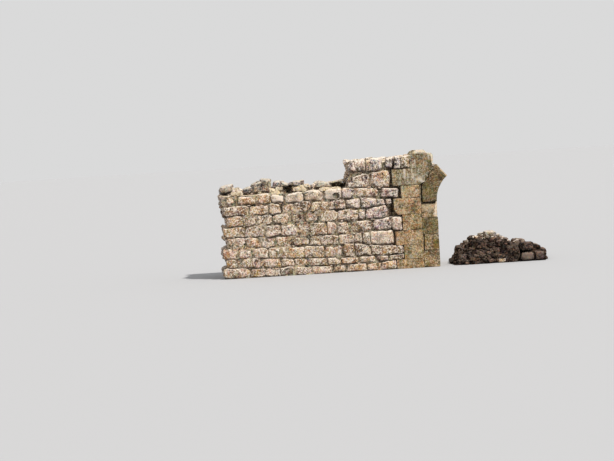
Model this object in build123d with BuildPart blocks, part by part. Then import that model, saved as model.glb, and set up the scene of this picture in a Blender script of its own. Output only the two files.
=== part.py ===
from build123d import *
import os
from math import asin, cos, degrees, hypot, radians, sin

os.makedirs("parts", exist_ok=True)

# A ruined stone bridge of one small arch. The near abutment still stands to its full height with
# the springers and the next ring stones of the fallen arch. A low wing wall runs back from it, and
# across the gap only the bottom of the far abutment is left, half under the rubble of the arch.
# X runs along the bridge, the front face looks towards -Y, and Z is up. The origin is on the
# ground under the middle of the ruin. All lengths are in millimetres.

# Plan of the ruin
bridge_width = 2400
wing_length = 4000
tall_length = 2800
span = 2000
far_length = 1300

# Masonry of the two faces and the joints between dressed stones
facing_thickness = 450
open_joint = 12
worn_arris = 10

# Jamb of the near abutment, from the ground up to the springing of the arch
jamb_stone_width = 500
jamb_heights = (534, 500, 532, 484)
jamb_long_depth = 850
jamb_short_depth = 650
chipped_bed_height = 70
chipped_bed_depth = 130

# Quoins that tie the jamb into the rubble, long and short in turn
quoin_long = 860
quoin_short = 610
quoin_heights = (300, 440, 455, 505, 505)

# Ring of the arch: seven stones to the half circle, of which two are left on this side
ring_stone_count = 7
ring_depth = 480
ring_stone_depth = 800
springer_shoulder = 555

# Stones above the haunch of the arch
haunch_height = 515
cap_left_setback = 790
cap_outline = ((0, 385), (170, 530), (360, 570), (490, 520), (665, 440), (745, 260), (705, 110), (705, 0))

# Rubble faces and core of the tall part. Its top course is broken: distance along it, rise or fall
top_course_height = 330
tall_top_breaks = ((0, -190), (60, -40), (160, 0), (660, 0), (720, 40), (1210, 40), (1250, -90), (1330, 0))
core_drop = 90
core_slope_run = 260
core_end_run = 240

# Rubble faces and core of the wing wall, whose end is racked back course by course from the ground
wing_course_height = 324
wing_racking = (0, 120, 30, 170, 60, 190, 90, 40)
wing_step_start = 1440
wing_step_end = 2060
wing_step_drop = 90
wing_core_rise = 90

# Humps of bedded stones on the broken top of the core, from the left: place across as a share of the
# free half width, rise and turn. Those of the wing lie between the two rows of loose stones.
tall_humps = ((0.7, 120, 15), (-0.7, 150, -30), (0.6, 90, 8), (-0.8, 130, 35), (0.7, 150, -12), (-0.6, 100, 20))
wing_humps = ((0.8, 110, -15), (-0.6, 60, 30), (0.5, 150, -8), (-1.0, 80, 22), (0.7, 130, -25))
hump_length = 480
hump_width = 400
hump_clearance = 40
hump_side_lean = 35

# Loose stones on the wing wall: the gap before each as a share of the free length, length, height
loose_stones = ((0.0, 400, 245), (0.41, 430, 230), (0.02, 460, 330), (0.04, 290, 200), (0.05, 150, 170),
                (0.02, 450, 205), (0.36, 550, 215), (0.03, 440, 150))
loose_stone_depth = 480
loose_stone_overhang = 170

# Far abutment: the bottom course of its jamb and two courses of its faces
far_jamb_height = 534
far_course_height = 320
far_step_run = 380
far_core_height = 500

# Rubble of the fallen arch in the gap, leaning on the far abutment: distance in front of it, height
heap_crown = 750
heap_outline = ((1550, 0), (1490, 140), (1250, 430), (1050, 620), (890, 820),
                (670, heap_crown), (130, heap_crown), (0, 690))
heap_lap_on_far = 350
heap_crown_width = 700
heap_foot_width = 2200
heap_foot_share = 0.35
fallen_stones = ((650, 230, 170), (508, -210, 226))
fallen_stone_length = 375
fallen_stone_depth = 380

# Places that follow from the sizes
left_end = -(wing_length + tall_length + span + far_length) / 2
tall_left = left_end + wing_length
jamb_face = tall_left + tall_length
jamb_back = jamb_face - jamb_stone_width
far_jamb_face = jamb_face + span
far_jamb_back = far_jamb_face + jamb_stone_width
right_end = far_jamb_face + far_length
springing = sum(jamb_heights)
arch_radius = span / 2
arch_middle = jamb_face + arch_radius
back_radius = arch_radius + ring_depth
shoulder = springing + springer_shoulder
haunch_top = shoulder + haunch_height
tall_top = haunch_top + top_course_height
wing_top = wing_course_height * len(wing_racking)
half_width = bridge_width / 2
sides = {"front": -1, "back": 1}


def depth_range(side, depth):
    """The low and high Y of masonry that stands behind one of the two faces."""
    ends = (side * half_width, side * (half_width - depth))
    return min(ends), max(ends)


def save(piece, label):
    """Names a finished piece and writes it to its own file."""
    piece.part.label = label
    export_step(piece.part, f"parts/{label}.step")


def outer_edges(piece, side):
    """The edges round the face of a piece that shows on one side of the bridge."""
    faces = piece.faces().filter_by(Axis.Y).sort_by(Axis.Y)
    return (faces[0] if side < 0 else faces[-1]).edges()


def block(left, right, bottom, top, y_low, y_high):
    """A squared stone between two beds."""
    with BuildPart() as stone:
        with BuildSketch(Plane.XZ.offset(-y_high)):
            with Locations(((left + right) / 2, (bottom + top) / 2)):
                Rectangle(right - left, top - bottom)
        extrude(amount=y_high - y_low)
    return stone


def dressed_block(left, right, bottom, top, y_low, y_high, side):
    """A squared stone whose arrises are worn round its outer face."""
    with BuildPart() as stone:
        add(block(left, right, bottom, top, y_low, y_high).part)
        chamfer(outer_edges(stone, side), worn_arris)
    return stone


def prism(points, y_low, y_high):
    """Masonry with one outline through its whole depth."""
    with BuildPart() as mass:
        with BuildSketch(Plane.XZ.offset(-y_high)):
            with BuildLine():
                Polyline(*points, close=True)
            make_face()
        extrude(amount=y_high - y_low)
    return mass


def chip_upper_arris(jamb_stone, side):
    """The top jamb stone with the arris of its outer face broken away under the springer."""
    face = side * half_width
    with BuildPart() as stone:
        add(jamb_stone.part)
        with BuildSketch(Plane.YZ.offset(jamb_back)):
            with BuildLine():
                Polyline((face, springing - chipped_bed_height), (face, springing),
                         (face - side * chipped_bed_depth, springing), close=True)
            make_face()
        extrude(amount=jamb_stone_width, mode=Mode.SUBTRACT)
    return stone


# The jamb stones are long and short across the bridge in turn, so that they bond with the middle.
# The outer arris of the top one is broken away under the springer.
jamb_depths = [jamb_long_depth if course % 2 else jamb_short_depth for course in range(len(jamb_heights))]
jamb_beds = [sum(jamb_heights[:course]) for course in range(len(jamb_heights) + 1)]
for side_name, side in sides.items():
    for course, depth in enumerate(jamb_depths):
        low, high = depth_range(side, depth)
        stone = dressed_block(jamb_back, jamb_face, jamb_beds[course], jamb_beds[course + 1], low, high, side)
        if course == len(jamb_heights) - 1:
            stone = chip_upper_arris(stone, side)
        save(stone, f"jamb_{side_name}_{course + 1}")

with BuildPart() as jamb_middle:
    for course, depth in enumerate(jamb_depths):
        reach = half_width - depth - open_joint
        add(block(jamb_back, jamb_face, jamb_beds[course], jamb_beds[course + 1], -reach, reach).part)
save(jamb_middle, "jamb_middle")

# The quoins stand beside the jamb from the ground to the shoulder of the springer.
quoin_beds = [sum(quoin_heights[:course]) for course in range(len(quoin_heights) + 1)] + [shoulder]
quoin_lengths = [quoin_short if course % 2 else quoin_long for course in range(len(quoin_beds) - 1)]
quoin_right = jamb_back - open_joint
for side_name, side in sides.items():
    low, high = depth_range(side, facing_thickness)
    for course, length in enumerate(quoin_lengths):
        left = jamb_back - length
        stone = dressed_block(left, quoin_right, quoin_beds[course], quoin_beds[course + 1], low, high, side)
        save(stone, f"quoin_{side_name}_{course + 1}")


def ring_point(radius, joint):
    """A point on a radial joint of the arch, counted up from the springing of the near side."""
    turn = radians(180 * joint / ring_stone_count)
    return arch_middle - radius * cos(turn), springing + radius * sin(turn)


def ring_back_at(height):
    """The point on the back of the ring at a height above the ground."""
    turn = asin((height - springing) / back_radius)
    return arch_middle - back_radius * cos(turn), height


ring_depths = {
    "front": depth_range(-1, ring_stone_depth),
    "middle": (-half_width + ring_stone_depth + open_joint, half_width - ring_stone_depth - open_joint),
    "back": depth_range(1, ring_stone_depth),
}
for place, (low, high) in ring_depths.items():
    # The springer lies on the jamb with its shoulder level with the bed of the haunch stone.
    with BuildPart() as springer:
        with BuildSketch(Plane.XZ.offset(-high)):
            with BuildLine():
                ThreePointArc(ring_point(arch_radius, 0), ring_point(arch_radius, 0.5), ring_point(arch_radius, 1))
                Polyline(ring_point(arch_radius, 1), ring_point(back_radius, 1), (jamb_back, shoulder),
                         (jamb_back, springing), ring_point(arch_radius, 0))
            make_face()
        extrude(amount=high - low)
        if place in sides:
            chamfer(outer_edges(springer, sides[place]), worn_arris)
    save(springer, f"springer_{place}")

    # The next ring stone leans out over the gap, held by its radial bed and the haunch behind it.
    with BuildPart() as voussoir:
        with BuildSketch(Plane.XZ.offset(-high)):
            with BuildLine():
                ThreePointArc(ring_point(arch_radius, 1), ring_point(arch_radius, 1.5), ring_point(arch_radius, 2))
                Line(ring_point(arch_radius, 2), ring_point(back_radius, 2))
                ThreePointArc(ring_point(back_radius, 2), ring_point(back_radius, 1.5), ring_point(back_radius, 1))
                Line(ring_point(back_radius, 1), ring_point(arch_radius, 1))
            make_face()
        extrude(amount=high - low)
        if place in sides:
            chamfer(outer_edges(voussoir, sides[place]), worn_arris)
    save(voussoir, f"voussoir_{place}")

# The haunch stone is cut to the back of the ring, and the cap stone lies broken on top of it.
haunch_left = jamb_back - quoin_long
haunch_turn = degrees(asin((haunch_top - springing) / back_radius)) * ring_stone_count / 180
cap_left = jamb_face - cap_left_setback
for side_name, side in sides.items():
    low, high = depth_range(side, facing_thickness)
    with BuildPart() as haunch_stone:
        with BuildSketch(Plane.XZ.offset(-high)):
            with BuildLine():
                Polyline(ring_back_at(haunch_top), (haunch_left, haunch_top), (haunch_left, shoulder),
                         (jamb_back, shoulder), ring_point(back_radius, 1))
                ThreePointArc(ring_point(back_radius, 1), ring_point(back_radius, (1 + haunch_turn) / 2),
                              ring_back_at(haunch_top))
            make_face()
        extrude(amount=high - low)
        chamfer(outer_edges(haunch_stone, side), worn_arris)
    save(haunch_stone, f"haunch_stone_{side_name}")

    cap_points = [(cap_left + along, haunch_top + rise) for along, rise in cap_outline]
    cap_stone = prism([(cap_left, haunch_top), *cap_points], low, high)
    save(cap_stone, f"cap_stone_{side_name}")

# The rubble faces of the tall part are toothed to the quoins, and their top is broken off.
toothed_end = []
for course, length in enumerate(quoin_lengths):
    tooth = jamb_back - length - open_joint
    toothed_end += [(tooth, quoin_beds[course]), (tooth, quoin_beds[course + 1])]
haunch_tooth = haunch_left - open_joint
cap_tooth = cap_left - open_joint
toothed_end += [(haunch_tooth, shoulder), (haunch_tooth, haunch_top), (cap_tooth, haunch_top)]
broken_top = [(tall_left + along, tall_top + rise) for along, rise in tall_top_breaks]
racked_end = []
for course, setback in enumerate(wing_racking):
    racked_end += [(left_end + setback, wing_course_height * course),
                   (left_end + setback, wing_course_height * (course + 1))]
for side_name, side in sides.items():
    low, high = depth_range(side, facing_thickness)
    tall_face = prism([(tall_left, 0), *toothed_end, (cap_tooth, tall_top), *reversed(broken_top)], low, high)
    save(tall_face, f"near_{side_name}_facing")

    # The faces of the wing wall have lost one more course in the middle of their length.
    step_left = left_end + wing_step_start
    step_right = left_end + wing_step_end
    wing_face = prism([(tall_left, 0), (tall_left, wing_top), (step_right, wing_top),
                       (step_right, wing_top - wing_step_drop), (step_left, wing_top - wing_step_drop),
                       (step_left, wing_top), *reversed(racked_end)], low, high)
    save(wing_face, f"wing_{side_name}_facing")

# One core of rubble and lime fills the wing and the tall part up to the back of the ring. Its top is
# broken into humps, and its end above the wing slopes back.
core_reach = half_width - facing_thickness
core_top = tall_top - core_drop
core_top_left = tall_left + core_end_run
core_top_right = ring_back_at(haunch_top)[0] - core_slope_run
wing_core_top = wing_top + wing_core_rise
wing_core_end = left_end + wing_racking[-1]
between_loose_stones = core_reach + loose_stone_overhang - loose_stone_depth
hump_reach = hypot(hump_length, hump_width) / 2 + hump_clearance
broken_tops = (
    (tall_humps, core_top_left, core_top_right, core_top, core_reach),
    (wing_humps, wing_core_end, tall_left, wing_core_top, between_loose_stones),
)
with BuildPart() as rubble_core:
    with BuildSketch(Plane.XZ.offset(-core_reach)):
        with BuildLine():
            ThreePointArc(ring_point(back_radius, 1), ring_point(back_radius, (1 + haunch_turn) / 2),
                          ring_back_at(haunch_top))
            Polyline(ring_back_at(haunch_top), (core_top_right, core_top),
                     (core_top_left, core_top), (tall_left, wing_core_top), (wing_core_end, wing_core_top),
                     *reversed(racked_end), (jamb_back, 0), (jamb_back, shoulder), ring_point(back_radius, 1))
        make_face()
    extrude(amount=2 * core_reach)
    for humps, left, right, top, strip in broken_tops:
        for place, (across, rise, turn) in enumerate(humps):
            along = left + (right - left) * (place + 0.5) / len(humps)
            with BuildSketch(Plane.XY.offset(top)):
                with Locations((along, across * (strip - hump_reach))):
                    Rectangle(hump_length, hump_width, rotation=turn)
            extrude(amount=rise, taper=hump_side_lean)
save(rubble_core, "rubble_core")

# Loose stones lie on the core of the wing and stand out over its faces.
free_length = wing_length - wing_racking[-1] - sum(length for gap, length, height in loose_stones)
with BuildPart() as wing_top_stones:
    start = wing_core_end
    for gap, length, height in loose_stones:
        start += gap * free_length
        for side in sides.values():
            ends = (side * (core_reach + loose_stone_overhang),
                    side * (core_reach + loose_stone_overhang - loose_stone_depth))
            add(block(start, start + length, wing_core_top, wing_core_top + height, min(ends), max(ends)).part)
        start += length
save(wing_top_stones, "wing_top_stones")

# The far abutment: three jamb stones across the bridge, two faces and the core between them.
for place, (low, high) in ring_depths.items():
    far_jamb = block(far_jamb_face, far_jamb_back, 0, far_jamb_height, low, high)
    save(far_jamb, f"far_jamb_{place}")

far_face_left = far_jamb_back + open_joint
far_step = far_face_left + far_step_run
for side_name, side in sides.items():
    low, high = depth_range(side, facing_thickness)
    far_face = prism([(far_face_left, 0), (right_end, 0), (right_end, far_course_height),
                      (far_step, far_course_height), (far_step, 2 * far_course_height),
                      (far_face_left, 2 * far_course_height)], low, high)
    save(far_face, f"far_{side_name}_facing")

far_core = prism([(far_jamb_back, 0), (right_end, 0), (right_end, far_course_height - open_joint),
                  (far_jamb_back, far_core_height)], -core_reach, core_reach)
save(far_core, "far_core")

# The rubble of the arch: a long mound whose sides fall away to both faces of the bridge.
def heap_section(share):
    """The outline of the mound, lower towards its two ends, always bedded on the far abutment."""
    lap_end = far_jamb_face + heap_lap_on_far
    tops = []
    for distance, rise in heap_outline:
        floor = 0 if distance else far_jamb_height
        tops.append((far_jamb_face - distance, floor + (rise - floor) * share))
    return [(far_jamb_face, 0), *tops, (lap_end, far_jamb_height), (far_jamb_face, far_jamb_height)]


with BuildPart() as fallen_rubble:
    for across, share in ((-heap_foot_width / 2, heap_foot_share), (-heap_crown_width / 2, 1)):
        with BuildSketch(Plane.XZ.offset(-across)):
            with BuildLine():
                Polyline(*heap_section(share), close=True)
            make_face()
    loft(ruled=True)
    mirror(about=Plane.XZ)
    with BuildSketch(Plane.XZ.offset(-heap_crown_width / 2)):
        with BuildLine():
            Polyline(*heap_section(1), close=True)
        make_face()
    extrude(amount=heap_crown_width)
save(fallen_rubble, "fallen_rubble")

# Squared stones of the arch that came to rest on the crown of the mound.
with BuildPart() as fallen_ring_stones:
    for distance, across, height in fallen_stones:
        left = far_jamb_face - distance
        add(block(left, left + fallen_stone_length, heap_crown, heap_crown + height,
                  across - fallen_stone_depth / 2, across + fallen_stone_depth / 2).part)
save(fallen_ring_stones, "fallen_stones")
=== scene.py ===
import random
from math import asin, cos, pi, radians, sin

import bmesh
import bpy
from mathutils import Euler, Matrix, Vector, noise
from mathutils.bvhtree import BVHTree


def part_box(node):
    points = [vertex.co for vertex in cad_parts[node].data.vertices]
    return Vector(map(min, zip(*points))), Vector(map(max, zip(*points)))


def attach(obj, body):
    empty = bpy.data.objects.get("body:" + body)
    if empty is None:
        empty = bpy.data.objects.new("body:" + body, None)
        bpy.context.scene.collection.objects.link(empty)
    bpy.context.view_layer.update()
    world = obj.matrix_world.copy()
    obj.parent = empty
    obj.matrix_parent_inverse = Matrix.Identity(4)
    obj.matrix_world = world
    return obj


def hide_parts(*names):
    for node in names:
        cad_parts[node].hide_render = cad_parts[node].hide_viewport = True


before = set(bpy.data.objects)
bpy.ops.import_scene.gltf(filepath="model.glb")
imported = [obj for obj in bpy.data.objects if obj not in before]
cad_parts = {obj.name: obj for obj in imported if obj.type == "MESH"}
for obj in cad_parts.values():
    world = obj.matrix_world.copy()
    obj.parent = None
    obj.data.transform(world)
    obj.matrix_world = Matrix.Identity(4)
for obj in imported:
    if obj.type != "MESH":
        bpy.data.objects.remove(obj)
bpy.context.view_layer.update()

noise.seed_set(7)

# The jamb of the near abutment: big squared blocks of brown sandstone, long and short across the
# bridge in turn, bedded in lime that the rain has washed out. Their arrises are worn round, and
# the top block has lost its upper arris under the springer.
jamb_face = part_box("jamb_front_1")[1][0]
jamb_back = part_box("jamb_front_1")[0][0]
front_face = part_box("jamb_front_1")[0][1]
back_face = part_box("jamb_back_1")[1][1]
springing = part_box("jamb_front_4")[1][2]
bed_gap = 0.0015
stone_cell = 0.042
arris_round = 0.005
texture_shift = 61.0
cool_cast, warm_cast = (0.39, 0.44, 0.57, 1), (0.61, 0.50, 0.37, 1)
rust_brown = (0.27, 0.12, 0.04, 1)
dark_growth = (0.17, 0.145, 0.11, 1)
painted_underside_shade = (0.09, 0.065, 0.05, 1)


def add_node(tree, kind, inputs, **settings):
    """Adds a shader node with its settings, and gives its sockets their values or links."""
    node = tree.nodes.new("ShaderNode" + kind)
    for name, value in settings.items():
        setattr(node, name, value)
    for socket, value in inputs.items():
        if isinstance(value, bpy.types.NodeSocket):
            tree.links.new(value, node.inputs[socket])
        else:
            node.inputs[socket].default_value = value
    return node


def weathered_stone_group():
    """Colour, roughness and relief of old stone: mottling, grain, lichen, rust, tops paler partly from
    bleaching and partly as painted light, and painted shade on undersides.
    """
    group = bpy.data.node_groups.new("weathered_stone", "ShaderNodeTree")
    sockets = {
        "INPUT": {"Color": ("Dark", "Light", "Second", "Bleached"),
                  "Float": ("Lichen", "Runs", "Rust", "Bleach_and_top_light", "Underside_shade", "Variety", "Contrast")},
        "OUTPUT": {"Color": ("Color",), "Float": ("Roughness", "Height")},
    }
    for way, kinds in sockets.items():
        for kind, names in kinds.items():
            for name in names:
                group.interface.new_socket(name, in_out=way, socket_type="NodeSocket" + kind)
    given = group.nodes.new("NodeGroupInput").outputs
    out = group.nodes.new("NodeGroupOutput").inputs

    def math(operation, first, second):
        return add_node(group, "Math", {0: first, 1: second}, operation=operation).outputs[0]

    def plus(first, second):
        return math("ADD", first, second)

    def minus(first, second):
        return math("SUBTRACT", first, second)

    def times(first, second):
        return math("MULTIPLY", first, second)

    def most(first, second):
        return math("MAXIMUM", first, second)

    def swing(value, amount):
        return times(minus(value, 0.5), amount)

    def mask(value, low, high):
        """A soft mask that rises from 0 to 1 between two values."""
        inputs = {0: value, 1: low, 2: high}
        return add_node(group, "MapRange", inputs, interpolation_type="SMOOTHSTEP").outputs[0]

    def lay(factor, under, over, mode="MIX"):
        """One colour laid over another by a factor."""
        inputs = {0: factor, 6: under, 7: over}
        return add_node(group, "Mix", inputs, data_type="RGBA", blend_type=mode).outputs[2]

    own = add_node(group, "Attribute", {}, attribute_name="stone").outputs
    own_tone, hue, number = add_node(group, "SeparateColor", {0: own["Color"]}).outputs
    place = add_node(group, "TexCoord", {}).outputs["Object"]
    apart = add_node(group, "VectorMath", {0: own["Color"], 1: (0, 0, texture_shift)}, operation="MULTIPLY")
    shifted = add_node(group, "VectorMath", {0: place, 1: apart.outputs[0]}, operation="ADD").outputs[0]

    def cloud(scale, detail, roughness, stretch=None):
        where = add_node(group, "Mapping", {0: shifted, 3: stretch}).outputs[0] if stretch else shifted
        inputs = {"Vector": where, "Scale": scale, "Detail": detail, "Roughness": roughness}
        return add_node(group, "TexNoise", inputs).outputs

    def colours(scale, contrast):
        """Grey that one noise turns to rust or blue grey, a second less so to rose or green."""
        parts = add_node(group, "SeparateColor", {0: cloud(scale, 4, 0.6)[1]}).outputs
        warmth, greenness = swing(parts[0], contrast * 0.85), swing(parts[1], contrast * 0.22)
        value = plus(swing(parts[2], contrast * 0.58), 0.5)
        duller = minus(value, greenness)
        mixed = {0: plus(duller, warmth), 1: plus(value, times(greenness, 2)), 2: minus(duller, warmth)}
        return add_node(group, "CombineColor", mixed).outputs[0]

    mottling = cloud(3.4, 6, 0.6)[0]
    blotches = cloud(12, 7, 0.7)[0]
    grain = cloud(62, 5, 0.72)[0]
    crust = cloud(15, 9, 0.72)[0]
    patches = cloud(2.6, 3, 0.55)[0]
    flecks = cloud(25, 3, 0.5)[0]
    streaks = cloud(1, 6, 0.65, (13, 13, 1.5))[0]
    beds = cloud(1, 5, 0.6, (2.2, 2.2, 13))[0]
    specks, stains = colours(14, 1.65), colours(4.5, 1.7)
    pits = add_node(group, "TexVoronoi", {"Vector": shifted, "Scale": 34, "Randomness": 1}).outputs[0]
    normal = add_node(group, "NewGeometry", {}).outputs["Normal"]
    facing = add_node(group, "SeparateXYZ", {0: normal}).outputs[2]

    tone = times(plus(swing(mottling, 2.6), swing(blotches, 3.9)), given["Contrast"])
    tone = plus(plus(tone, swing(grain, 1.8)), swing(flecks, 1.5))
    colour = lay(mask(plus(own_tone, tone), -0.05, 1.05), given["Dark"], given["Light"])
    colour = lay(times(hue, mask(streaks, 0.38, 0.62)), colour, given["Second"])
    colour = lay(given["Variety"], colour, lay(number, cool_cast, warm_cast), "OVERLAY")
    colour = lay(0.55, lay(0.33, colour, stains, "OVERLAY"), specks, "OVERLAY")
    colour = lay(times(given["Rust"], mask(blotches, 0.54, 0.64)), colour, rust_brown)

    cracks = times(mask(math("ABSOLUTE", minus(beds, 0.52), 0), 0.022, 0.004), mask(patches, 0.47, 0.58))
    spots = times(mask(flecks, 0.48, 0.40), mask(mottling, 0.58, 0.42))
    growth = most(most(times(mask(crust, 0.45, 0.36), 0.7), times(cracks, 0.9)), times(spots, 0.9))
    colour = lay(times(growth, given["Contrast"]), colour, dark_growth, "MULTIPLY")

    lichen = times(mask(crust, 0.51, 0.58), mask(patches, 0.36, 0.52))
    dots = times(mask(flecks, 0.52, 0.57), mask(mottling, 0.42, 0.54))
    lichen = times(most(lichen, dots), given["Lichen"])
    runs = times(times(mask(streaks, 0.54, 0.61), mask(mottling, 0.42, 0.56)), given["Runs"])
    lichen = most(lichen, most(runs, times(own["Alpha"], mask(blotches, 0.32, 0.48))))
    pale = lay(0.35, given["Bleached"], specks, "OVERLAY")
    pale = lay(times(mask(grain, 0.46, 0.60), 0.3), pale, given["Light"])
    # Surfaces facing up are made paler: partly bleached stone, partly painted light where the lamp falls on the
    # tops.
    bleached_and_lit_tops = times(times(mask(facing, 0.4, 0.85), mask(blotches, 0.3, 0.55)), given["Bleach_and_top_light"])
    colour = lay(bleached_and_lit_tops, lay(lichen, colour, pale), pale)
    # Surfaces facing down are darkened towards the underside colour: painted shade under the stones.
    below = times(mask(facing, -0.15, -0.75), given["Underside_shade"])
    group.links.new(lay(below, colour, painted_underside_shade, "MULTIPLY"), out["Color"])

    group.links.new(plus(0.8, times(grain, 0.25)), out["Roughness"])
    relief = plus(plus(times(blotches, 0.9), times(grain, 0.35)), times(mask(pits, 0, 0.35), 0.3))
    relief = plus(minus(relief, times(cracks, 0.5)), times(lichen, 0.2))
    group.links.new(relief, out["Height"])
    return group


stone_group = weathered_stone_group()


def stone_material(name, dark, light, second, bleached, lichen, rust, bleach_and_top_light, underside_shade, runs=0.1, relief=0.02,
                   sheen=0.25, variety=0.2, contrast=1.0):
    """A kind of stone, made of the weathered stone group and a plain rough shader."""
    material = bpy.data.materials.new(name)
    material.use_nodes = True
    tree = material.node_tree
    shader = tree.nodes["Principled BSDF"].inputs
    shader["Specular IOR Level"].default_value = sheen
    values = {"Dark": (*dark, 1), "Light": (*light, 1), "Second": (*second, 1), "Bleached": (*bleached, 1),
              "Lichen": lichen, "Runs": runs, "Rust": rust, "Bleach_and_top_light": bleach_and_top_light, "Underside_shade": underside_shade,
              "Variety": variety, "Contrast": contrast}
    skin = tree.nodes.new("ShaderNodeGroup")
    skin.node_tree = stone_group
    for socket, value in values.items():
        skin.inputs[socket].default_value = value
    bump = add_node(tree, "Bump", {"Strength": 0.9, "Distance": relief, "Height": skin.outputs["Height"]})
    tree.links.new(skin.outputs["Color"], shader["Base Color"])
    tree.links.new(skin.outputs["Roughness"], shader["Roughness"])
    tree.links.new(bump.outputs[0], shader["Normal"])
    return material


dressed_sandstone = stone_material(
    "dressed_sandstone", dark=(0.115, 0.071, 0.03), light=(0.53, 0.338, 0.167), second=(0.17, 0.13, 0.032),
    bleached=(0.76, 0.65, 0.50), lichen=0.52, rust=0.3, bleach_and_top_light=0.8, underside_shade=0.7, variety=0.08, contrast=0.6)
# The darker bed of the same quarry, olive and rust brown: one block of the jamb, and the ring.
ring_sandstone = stone_material(
    "ring_sandstone", dark=(0.092, 0.06, 0.025), light=(0.375, 0.262, 0.128), second=(0.145, 0.116, 0.032),
    bleached=(0.62, 0.51, 0.37), lichen=0.3, rust=0.7, bleach_and_top_light=0.85, underside_shade=0.7)


def new_stone():
    """An empty mesh that can note at each point the tone, hue, number and bareness of its stone."""
    stone = bmesh.new()
    stone.verts.layers.float_color.new("stone")
    return stone


def noted(stone):
    """The layer in which a mesh keeps what is noted of its stones."""
    return stone.verts.layers.float_color["stone"]


def cut_into_cells(stone, cell):
    """Cuts a solid by planes a cell apart, so that its skin can be worn down point by point."""
    for axis in range(3):
        lowest = min(v.co[axis] for v in stone.verts)
        highest = max(v.co[axis] for v in stone.verts)
        normal = Vector((axis == 0, axis == 1, axis == 2))
        cuts = max(2, round((highest - lowest) / cell))
        for step in range(1, cuts):
            everything = stone.verts[:] + stone.edges[:] + stone.faces[:]
            bmesh.ops.bisect_plane(stone, geom=everything, dist=0.0004, plane_no=normal,
                                   plane_co=normal * (lowest + (highest - lowest) * step / cuts))


def round_and_cut(stone, arrises):
    """Takes the sharpness off the arrises of a dressed stone and cuts its skin into cells."""
    bmesh.ops.bevel(stone, geom=arrises, offset=arris_round, segments=2, profile=0.5, affect="EDGES",
                    material=-1)
    cut_into_cells(stone, stone_cell)


def plain_block(low, high):
    """A squared block between two corners of a box, ready to be worn."""
    stone = new_stone()
    bmesh.ops.create_cube(stone, size=1)
    bmesh.ops.scale(stone, vec=high - low, verts=stone.verts)
    bmesh.ops.translate(stone, vec=(low + high) / 2, verts=stone.verts)
    round_and_cut(stone, stone.edges)
    return stone


def wear_down(stone, draw, tone, hue, breaks=()):
    """Breaks pieces off a cut solid, wears its arrises and roughens its skin, and notes its colour."""
    roughness, edge_loss = 0.009, 0.02
    layer = noted(stone)
    number = draw.random()
    seed = Vector((number * 50, number * 20, number * 70))
    stone.normal_update()
    for v in stone.verts:
        edge = 1 - max(abs(v.normal.x), abs(v.normal.y), abs(v.normal.z))
        loss = edge * edge_loss * (0.35 + 1.5 * abs(noise.noise(v.co * 5 + seed)))
        rough = roughness * noise.fractal(v.co * 3.5 + seed, 0.75, 2.1, 5)
        v.co += v.normal * (rough - loss - roughness * 0.4)
        # A break can leave its stone paler: newly broken stone, and on some lit arrises a painted highlight.
        fresh_and_highlight = 0
        for place, direction, paleness in breaks:
            beyond = (v.co - place).dot(direction)
            if beyond > 0:
                v.co -= direction * (beyond + 0.010 * noise.noise(v.co * 14 + seed))
                fresh_and_highlight = max(fresh_and_highlight, paleness)
        v.co.z = max(v.co.z, 0)
        v[layer] = (tone + 0.3 * fresh_and_highlight, hue * (1 - fresh_and_highlight), number, fresh_and_highlight)


def as_data(name, mesh):
    """Turns a finished mesh into mesh data."""
    data = bpy.data.meshes.new(name)
    mesh.to_mesh(data)
    mesh.free()
    return data


def add_object(name, data):
    """Puts a mesh, a lamp or a camera into the scene."""
    made = bpy.data.objects.new(name, data)
    bpy.context.scene.collection.objects.link(made)
    return made


def place_piece(mesh, name, material, nodes=()):
    """Turns a finished mesh into a piece of the ruin that stands for its CAD nodes."""
    piece = add_object(name, as_data(name, mesh))
    piece.data.materials.append(material)
    piece.data.shade_smooth()
    piece.data.set_sharp_from_angle(angle=radians(38))
    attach(piece, "root")
    if nodes:
        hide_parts(*nodes)


def leaning(draw, reach):
    """A small random vector, up to a reach either way."""
    return [draw.uniform(-reach, reach) for _ in range(3)]


def corner_break(low, high, corner, reach, lean, paleness=0.12):
    """A plane that takes a corner or an arris off a block: corner holds -1, 0 or 1 for each axis."""
    half = (high - low) / 2
    tip = (low + high) / 2 + Vector([half[i] * corner[i] for i in range(3)])
    direction = (Vector(corner) + Vector(lean)).normalized()
    return tip - direction * reach, direction, paleness


def squared_stone(node, draw, tone, hue, breaks=(), grown=0.0):
    """A squared block in the place of a CAD node, with a few arrises broken off at random."""
    low, high = Vector(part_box(node)[0]), Vector(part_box(node)[1]) + Vector((grown, 0, 0))
    low += Vector((bed_gap, bed_gap, bed_gap if low.z > 0.01 else 0))
    high -= Vector((bed_gap, bed_gap, bed_gap))
    stone = plain_block(low, high)
    outer = -1 if low.y + high.y < 0 else 1
    chosen = [corner_break(low, high, *given) for given in breaks]
    for corner in ((-1, outer, 1), (1, outer, 1), (-1, outer, -1), (1, outer, -1)):
        if draw.random() < 0.4:
            lean = leaning(draw, 0.5)
            chosen.append(corner_break(low, high, corner, draw.uniform(0.015, 0.04), lean))
    for arris in ((0, outer, 1), (0, outer, -1), (1, outer, 0), (-1, outer, 0)):
        if draw.random() < 0.3:
            lean = leaning(draw, 0.12)
            chosen.append(corner_break(low, high, arris, draw.uniform(0.006, 0.016), lean))
    wear_down(stone, draw, tone, hue, chosen)
    return stone


def weather_patch(stone, x, z, reach, paleness=0.0, darker=0.0):
    """A patch of a face, round a place, that is paler or darker than the rest of its stone."""
    layer = noted(stone)
    for v in stone.verts:
        off = Vector((v.co.x - x, 1.3 * (v.co.z - z))).length * (1 + 0.9 * noise.noise(v.co * 11))
        share = min(1, 2 * max(0, 1 - off / reach))
        v[layer][3] = max(v[layer][3], paleness * share)
        v[layer][0] -= darker * share
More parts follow.
